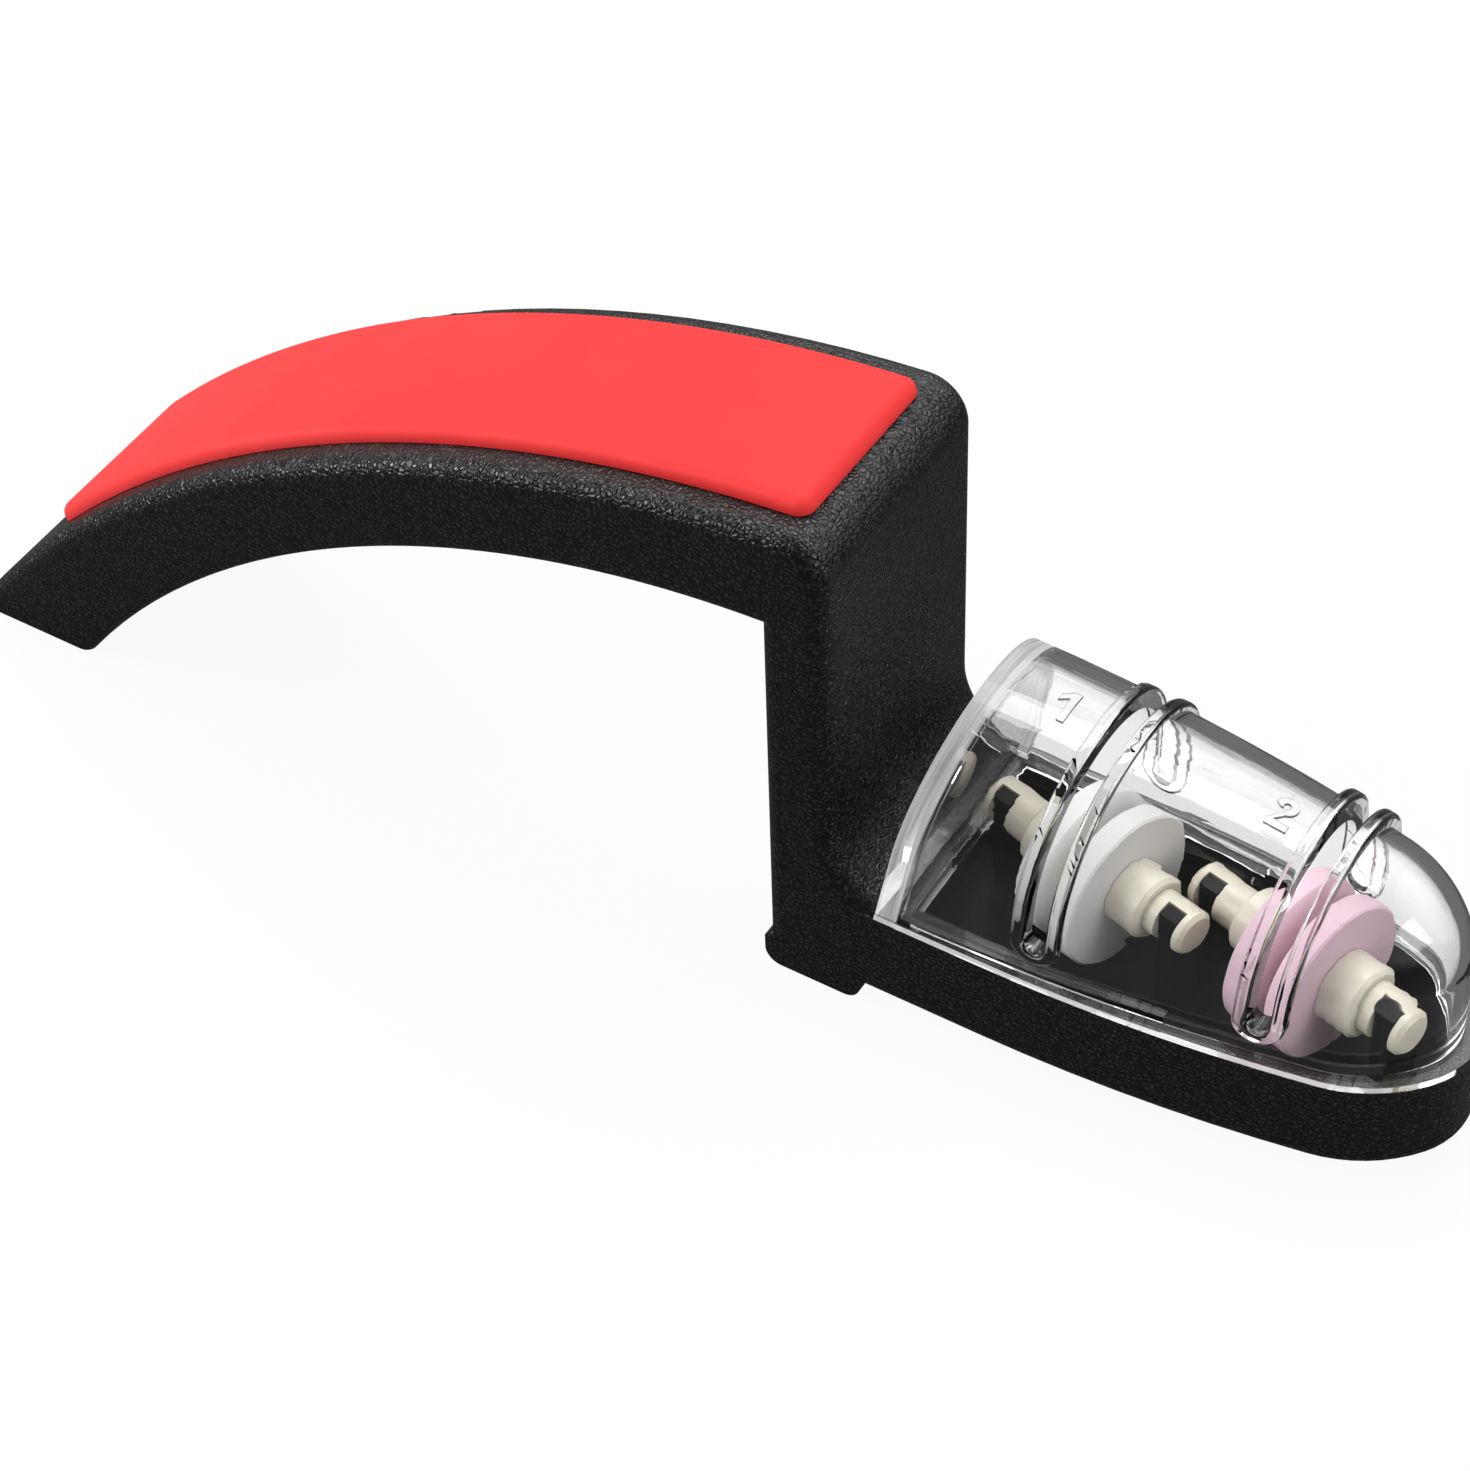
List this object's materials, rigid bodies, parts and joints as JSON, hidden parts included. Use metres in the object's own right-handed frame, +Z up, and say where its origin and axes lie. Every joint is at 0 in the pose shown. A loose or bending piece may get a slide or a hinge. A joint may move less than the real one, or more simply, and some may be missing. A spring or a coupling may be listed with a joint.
{
  "type": "pull through knife sharpener",
  "caption": "Hand-held pull through knife sharpener: arched padded grip, water tray, clear slotted lift-off cover and grooved ceramic wheel pairs turning on lift-out spindles.",
  "frame": {"origin": "centre of the bounding box, on the table", "axes": "+X from the tail of the grip to the nose, +Y to the left of a user who looks along +X, +Z up"},
  "size_m": [0.241, 0.04, 0.0848],
  "materials": {
    "body_black": "fine grained matte black moulding",
    "carrier_black": "plain black moulding, hidden in use",
    "pad_red": "soft matte red rubber",
    "screw_steel": "plain zinc plated steel",
    "tray_black": "smooth black moulding",
    "foot_rubber": "matte black rubber",
    "cover_clear": "polished clear plastic",
    "spindle_nylon": "satin cream nylon",
    "bush_nylon": "satin cream nylon",
    "ceramic_white": "fine grained white grinding ceramic",
    "ceramic_pink": "fine grained pink grinding ceramic"
  },
  "bodies": {
    "housing": {"body_shell": "body_black", "grip_carrier": "carrier_black", "grip_pad": "pad_red", "grip_screws": "screw_steel", "water_tray": "tray_black", "base_plate": "carrier_black", "base_screws": "screw_steel", "front_foot": "foot_rubber", "heel_foot": "foot_rubber", "tail_foot": "foot_rubber"},
    "cover_body": {"cover": "cover_clear"},
    "spindle_body_1": {"spindle_1": "spindle_nylon"},
    "wheel_pair_1": {"bush_left_1": "bush_nylon", "bush_right_1": "bush_nylon", "wheel_left_1": "ceramic_white", "wheel_right_1": "ceramic_white"},
    "spindle_body_2": {"spindle_2": "spindle_nylon"},
    "wheel_pair_2": {"bush_left_2": "bush_nylon", "bush_right_2": "bush_nylon", "wheel_left_2": "ceramic_pink", "wheel_right_2": "ceramic_pink"}
  },
  "joints": [
    {"name": "cover_lift", "type": "slide", "parent": "housing", "child": "cover_body", "axis": [0, 0, 1], "range_m": [0, 0.05]},
    {"name": "spindle_1_lift", "type": "slide", "parent": "housing", "child": "spindle_body_1", "axis": [0, 0, 1], "range_m": [0, 0.0055]},
    {"name": "wheels_1_spin", "type": "hinge", "parent": "spindle_body_1", "child": "wheel_pair_1", "pos_m": [0.0641, 0, 0.0235], "axis": [0.9681, -0.2504, 0], "continuous": true},
    {"name": "spindle_2_lift", "type": "slide", "parent": "housing", "child": "spindle_body_2", "axis": [0, 0, 1], "range_m": [0, 0.0055]},
    {"name": "wheels_2_spin", "type": "hinge", "parent": "spindle_body_2", "child": "wheel_pair_2", "pos_m": [0.0959, 0, 0.0235], "axis": [0.9681, -0.2504, 0], "continuous": true}
  ]
}
